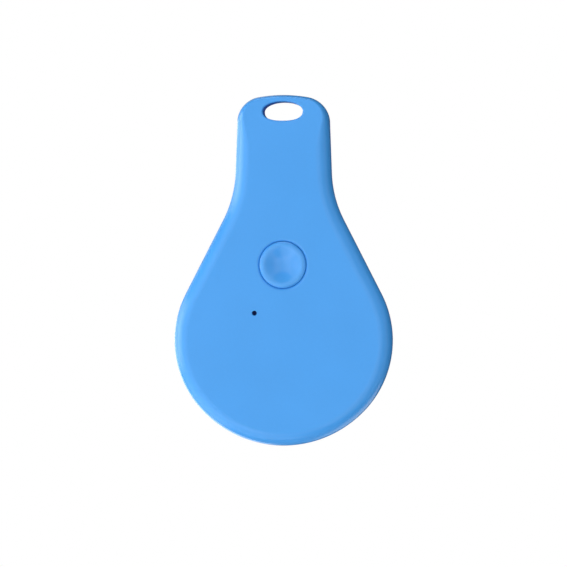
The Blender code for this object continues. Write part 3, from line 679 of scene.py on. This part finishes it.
def new_material(name, colour, roughness, metallic=0.0):
    made = bpy.data.materials.new(name)
    made.use_nodes = True
    nodes = made.node_tree.nodes
    shader = nodes["Principled BSDF"]
    shader.inputs["Base Color"].default_value = (*colour, 1.0)
    shader.inputs["Roughness"].default_value = roughness
    shader.inputs["Metallic"].default_value = metallic
    return made, made.node_tree, shader


def noise(tree, scale, detail=3.0, stretch=(1.0, 1.0, 1.0)):
    """Noise fixed to the piece. scale counts its features per metre."""
    place = tree.nodes.new("ShaderNodeTexCoord")
    mapping = tree.nodes.new("ShaderNodeMapping")
    mapping.inputs["Scale"].default_value = stretch
    texture = tree.nodes.new("ShaderNodeTexNoise")
    texture.inputs["Scale"].default_value = scale
    texture.inputs["Detail"].default_value = detail
    tree.links.new(place.outputs["Object"], mapping.inputs["Vector"])
    tree.links.new(mapping.outputs["Vector"], texture.inputs["Vector"])
    return texture.outputs["Fac"]


def spread(tree, value, low, high):
    """Maps the middle of a noise's range smoothly onto low to high."""
    mapped = tree.nodes.new("ShaderNodeMapRange")
    mapped.interpolation_type = "SMOOTHSTEP"
    mapped.inputs["From Min"].default_value = NOISE_MIDDLE[0]
    mapped.inputs["From Max"].default_value = NOISE_MIDDLE[1]
    mapped.inputs["To Min"].default_value = low
    mapped.inputs["To Max"].default_value = high
    tree.links.new(value, mapped.inputs["Value"])
    return mapped.outputs["Result"]


def blotches(tree, scale, detail):
    """A noise drawn out to run from 0 to 1."""
    return spread(tree, noise(tree, scale, detail), low=0.0, high=1.0)


def speckled_flow(tree):
    """A slow flow noise with half as much fine speckle on it, near 0.75 on average."""
    node = tree.nodes.new("ShaderNodeMath")
    node.operation = "MULTIPLY_ADD"
    node.inputs[1].default_value = SPECKLE_SHARE
    tree.links.new(noise(tree, scale=2600.0, detail=1.0), node.inputs[0])
    tree.links.new(noise(tree, scale=110.0, detail=1.0), node.inputs[2])
    return node.outputs["Value"]


def mottle(tree, shader, value, colour, dark, light):
    """Blends from a dark to a light shade of the colour, as factors of it, by a value from 0 to 1."""
    mix = tree.nodes.new("ShaderNodeMix")
    mix.data_type = "RGBA"
    mix.inputs["A"].default_value = (*shade(colour, dark), 1.0)
    mix.inputs["B"].default_value = (*shade(colour, light), 1.0)
    tree.links.new(value, mix.inputs["Factor"])
    tree.links.new(mix.outputs["Result"], shader.inputs["Base Color"])


def shade(colour, factor):
    return tuple(min(channel * factor, 1.0) for channel in colour)


def uneven_sheen(tree, shader, value, low, high):
    """Lets the roughness wander from low to high with a noise."""
    tree.links.new(spread(tree, value, low, high), shader.inputs["Roughness"])


def bump(tree, shader, heights):
    """Stacks bumps, given as (value, depth in metres)."""
    last = None
    for value, depth in heights:
        node = tree.nodes.new("ShaderNodeBump")
        node.inputs["Strength"].default_value = 1.0
        node.inputs["Distance"].default_value = depth
        tree.links.new(value, node.inputs["Height"])
        if last is not None:
            tree.links.new(last, node.inputs["Normal"])
        last = node.outputs["Normal"]
    tree.links.new(last, shader.inputs["Normal"])


def moulded_plastic(name, colour, roughness, grain=0.0015 * MM, gloss=0.5):
    """Spark-textured moulding: a speckled flow mottle, uneven sheen and a fine grain."""
    made, tree, shader = new_material(name, colour, roughness)
    shader.inputs["Specular IOR Level"].default_value = gloss
    mottle(tree, shader, speckled_flow(tree), colour, dark=0.95, light=1.02)
    flow = noise(tree, scale=90.0, detail=1.0)
    uneven_sheen(tree, shader, flow, roughness - SHEEN_SPREAD, roughness + SHEEN_SPREAD)
    fine, coarse = noise(tree, scale=5200.0, detail=2.0), noise(tree, scale=260.0, detail=1.0)
    bump(tree, shader, [(fine, grain), (coarse, 2 * grain)])
    return made


def metal(name, colour, roughness, stretch):
    """Metal with drawn or brushed streaks and a little tarnish."""
    made, tree, shader = new_material(name, colour, roughness, metallic=1.0)
    mottle(tree, shader, blotches(tree, scale=300.0, detail=3.0), colour, dark=0.86, light=1.04)
    streaks = noise(tree, scale=2500.0, stretch=stretch)
    uneven_sheen(tree, shader, streaks, low=roughness * 0.75, high=roughness * 1.35)
    bump(tree, shader, [(streaks, 0.003 * MM)])
    return made


def rubber(name, colour, roughness):
    made, tree, shader = new_material(name, colour, roughness)
    mottle(tree, shader, blotches(tree, scale=900.0, detail=4.0), colour, dark=0.8, light=1.4)
    uneven_sheen(tree, shader, noise(tree, scale=700.0), low=roughness - 0.08, high=roughness + 0.05)
    bump(tree, shader, [(noise(tree, scale=3500.0, detail=4.0), 0.008 * MM)])
    return made


def board_laminate(name, colour, roughness):
    """Solder mask over a glass weave, with copper traces showing through as a paler green."""
    made, tree, shader = new_material(name, colour, roughness)
    place = tree.nodes.new("ShaderNodeTexCoord")
    traces = tree.nodes.new("ShaderNodeTexBrick")
    traces.inputs["Scale"].default_value = 420.0
    traces.inputs["Mortar Size"].default_value = 0.055
    traces.inputs["Color1"].default_value = (0.0, 0.0, 0.0, 1.0)
    traces.inputs["Color2"].default_value = (0.12, 0.12, 0.12, 1.0)
    traces.inputs["Mortar"].default_value = (1.0, 1.0, 1.0, 1.0)
    turn = tree.nodes.new("ShaderNodeMapping")
    turn.inputs["Rotation"].default_value = (math.pi / 2, 0.0, 0.0)
    tree.links.new(place.outputs["Object"], turn.inputs["Vector"])
    tree.links.new(turn.outputs["Vector"], traces.inputs["Vector"])
    mottle(tree, shader, traces.outputs["Color"], colour, dark=1.0, light=2.6)
    uneven_sheen(tree, shader, noise(tree, scale=1500.0), low=roughness - 0.06, high=roughness + 0.1)
    weave = noise(tree, scale=6000.0, detail=2.0)
    bump(tree, shader, [(traces.outputs["Color"], 0.02 * MM), (weave, 0.003 * MM)])
    return made


def woven_mesh(name, colour, roughness):
    """A fine dust cloth: threads crossing every 0.15 mm, with painted shade between them and painted light
    on top.
    """
    made, tree, shader = new_material(name, colour, roughness)
    place = tree.nodes.new("ShaderNodeTexCoord")
    height = None
    for direction in ("X", "Z"):
        threads = tree.nodes.new("ShaderNodeTexWave")
        threads.bands_direction = direction
        threads.inputs["Scale"].default_value = 2100.0
        tree.links.new(place.outputs["Object"], threads.inputs["Vector"])
        if height is None:
            height = threads.outputs["Fac"]
        else:
            both = tree.nodes.new("ShaderNodeMath")
            both.operation = "MAXIMUM"
            tree.links.new(height, both.inputs[0])
            tree.links.new(threads.outputs["Fac"], both.inputs[1])
            height = both.outputs["Value"]
    # painted shade and light: the cloth's colour falls to 0.3 of itself in the hollows between threads and
    # rises to 1.6 on their crowns
    mottle(tree, shader, height, colour, dark=0.3, light=1.6)
    uneven_sheen(tree, shader, noise(tree, scale=2000.0), low=roughness - 0.1, high=roughness)
    bump(tree, shader, [(height, 0.02 * MM)])
    return made


def speckled(name, colour, roughness, contrast):
    """Pressed or filled material: chip mouldings and fired ceramic."""
    made, tree, shader = new_material(name, colour, roughness)
    flecks = blotches(tree, scale=4200.0, detail=5.0)
    mottle(tree, shader, flecks, colour, dark=1 - contrast, light=1 + contrast)
    uneven_sheen(tree, shader, noise(tree, scale=1100.0), low=roughness - 0.07, high=roughness + 0.07)
    bump(tree, shader, [(noise(tree, scale=5200.0, detail=4.0), 0.006 * MM)])
    return made


def materials_by_slot():
    """One finished material for each of the record's slots."""
    return {
        "shell_plastic": moulded_plastic("light_blue_plastic", BLUE, BLUE_ROUGHNESS),
        "button_plastic": moulded_plastic("light_blue_button", BLUE, BLUE_ROUGHNESS,
                                          BUTTON_GRAIN, BUTTON_GLOSS),
        "seal_rubber": rubber("black_seal_rubber", (0.03, 0.03, 0.034), 0.75),
        "steel": metal("zinc_plated_steel", (0.60, 0.61, 0.63), 0.3, stretch=(1.0, 8.0, 1.0)),
        "board_laminate": board_laminate("green_board", (0.012, 0.09, 0.035), 0.35),
        "moulding_compound": speckled("chip_moulding", (0.022, 0.022, 0.024), 0.55, contrast=0.3),
        "ceramic_parts": speckled("fired_ceramic", (0.62, 0.56, 0.45), 0.5, contrast=0.08),
        "brass": metal("rolled_brass", (0.80, 0.58, 0.25), 0.3, stretch=(6.0, 1.0, 1.0)),
        "spring_bronze": metal("spring_bronze", (0.78, 0.42, 0.26), 0.32, stretch=(1.0, 1.0, 6.0)),
        "mesh_cloth": woven_mesh("dust_cloth", (0.012, 0.02, 0.08), 0.85),
        "nickel_plate": metal("nickel_plate", (0.68, 0.66, 0.62), 0.24, stretch=(5.0, 1.0, 1.0)),
        "white_plastic": moulded_plastic("white_plastic", (0.75, 0.75, 0.72), 0.5),
    }


def dress_cad_nodes(by_slot):
    for row in frame["record"]["subparts"]:
        mesh = frame["nodes"][row["node"]].data
        mesh.materials.clear()
        mesh.materials.append(by_slot[row["material_slot"]])


# ---------------------------------------------------------------- studio


def studio_world():
    """A dim room that looks white to the camera."""
    world = bpy.data.worlds.new("studio")
    bpy.context.scene.world = world
    world.use_nodes = True
    tree = world.node_tree
    dim = tree.nodes["Background"]
    dim.inputs["Color"].default_value = WHITE
    dim.inputs["Strength"].default_value = ROOM_LIGHT
    bright = tree.nodes.new("ShaderNodeBackground")
    bright.inputs["Color"].default_value = WHITE
    bright.inputs["Strength"].default_value = 1.0
    path = tree.nodes.new("ShaderNodeLightPath")
    mix = tree.nodes.new("ShaderNodeMixShader")
    tree.links.new(path.outputs["Is Camera Ray"], mix.inputs["Fac"])
    tree.links.new(dim.outputs["Background"], mix.inputs[1])
    tree.links.new(bright.outputs["Background"], mix.inputs[2])
    tree.links.new(mix.outputs["Shader"], tree.nodes["World Output"].inputs["Surface"])


def pale_floor():
    """A floor that looks white to the camera and throws a little light up at the tag."""
    shape = bmesh.new()
    bmesh.ops.create_grid(shape, x_segments=FLOOR_CELLS, y_segments=FLOOR_CELLS, size=FLOOR_HALF_SIZE)
    floor = add_object("floor", shape)
    floor.location = (0.0, 0.0, BOTTOM_Z - FLOOR_BELOW)
    made, tree, shader = new_material("white_floor", (0.8, 0.8, 0.8), 0.6)
    shader.inputs["Emission Color"].default_value = WHITE
    path = tree.nodes.new("ShaderNodeLightPath")
    glow = tree.nodes.new("ShaderNodeMapRange")
    glow.inputs["To Min"].default_value = FLOOR_LIGHT
    glow.inputs["To Max"].default_value = 1.0
    tree.links.new(path.outputs["Is Camera Ray"], glow.inputs["Value"])
    tree.links.new(glow.outputs["Result"], shader.inputs["Emission Strength"])
    floor.data.materials.append(made)


def softbox(name, azimuth, elevation, width, height, power):
    """An area light aimed at the tag. Azimuth 0 is in front of it and 90 to its right."""
    light = bpy.data.lights.new(name, "AREA")
    light.shape = "RECTANGLE"
    light.size = width
    light.size_y = height
    light.energy = power
    lamp = bpy.data.objects.new(name, light)
    bpy.context.scene.collection.objects.link(lamp)
    middle = Vector((0.0, 0.0, MIDDLE_Z))
    a, e = math.radians(azimuth), math.radians(elevation)
    away = Vector((math.sin(a) * math.cos(e), -math.cos(a) * math.cos(e), math.sin(e)))
    lamp.location = middle + away * SOFTBOX_DISTANCE
    lamp.rotation_euler = (-away).to_track_quat("-Z", "Y").to_euler()


def lights():
    for name, azimuth, elevation, width, height, power in SOFTBOXES:
        softbox(name, azimuth, elevation, width, height, power)


def camera():
    """Almost straight on, from far away, with the tag above the picture's middle as in the photograph."""
    data = bpy.data.cameras.new("camera")
    data.lens = LENS
    data.sensor_width = SENSOR
    data.clip_end = CLIP_END
    made = bpy.data.objects.new("camera", data)
    bpy.context.scene.collection.objects.link(made)
    picture = (TOP_Z - BOTTOM_Z) / TAG_SHARE_OF_HEIGHT
    distance = picture * LENS / SENSOR
    aim = Vector((-TAG_RIGHT_OF_MIDDLE * picture, 0.0, MIDDLE_Z - TAG_ABOVE_MIDDLE * picture))
    turn = math.radians(CAMERA_TURN)
    made.location = aim + distance * Vector((math.sin(turn), -math.cos(turn), 0.0))
    made.rotation_euler = (math.pi / 2, 0.0, turn)
    bpy.context.scene.camera = made


bpy.context.scene.view_settings.view_transform = "Standard"
camera()
studio_world()
pale_floor()
lights()
finishes = materials_by_slot()
dress_cad_nodes(finishes)
front_shell(finishes["shell_plastic"])
rear_shell(finishes["shell_plastic"])
button_cap(finishes["button_plastic"])
battery_door(finishes["shell_plastic"])
case_screws(finishes["steel"])
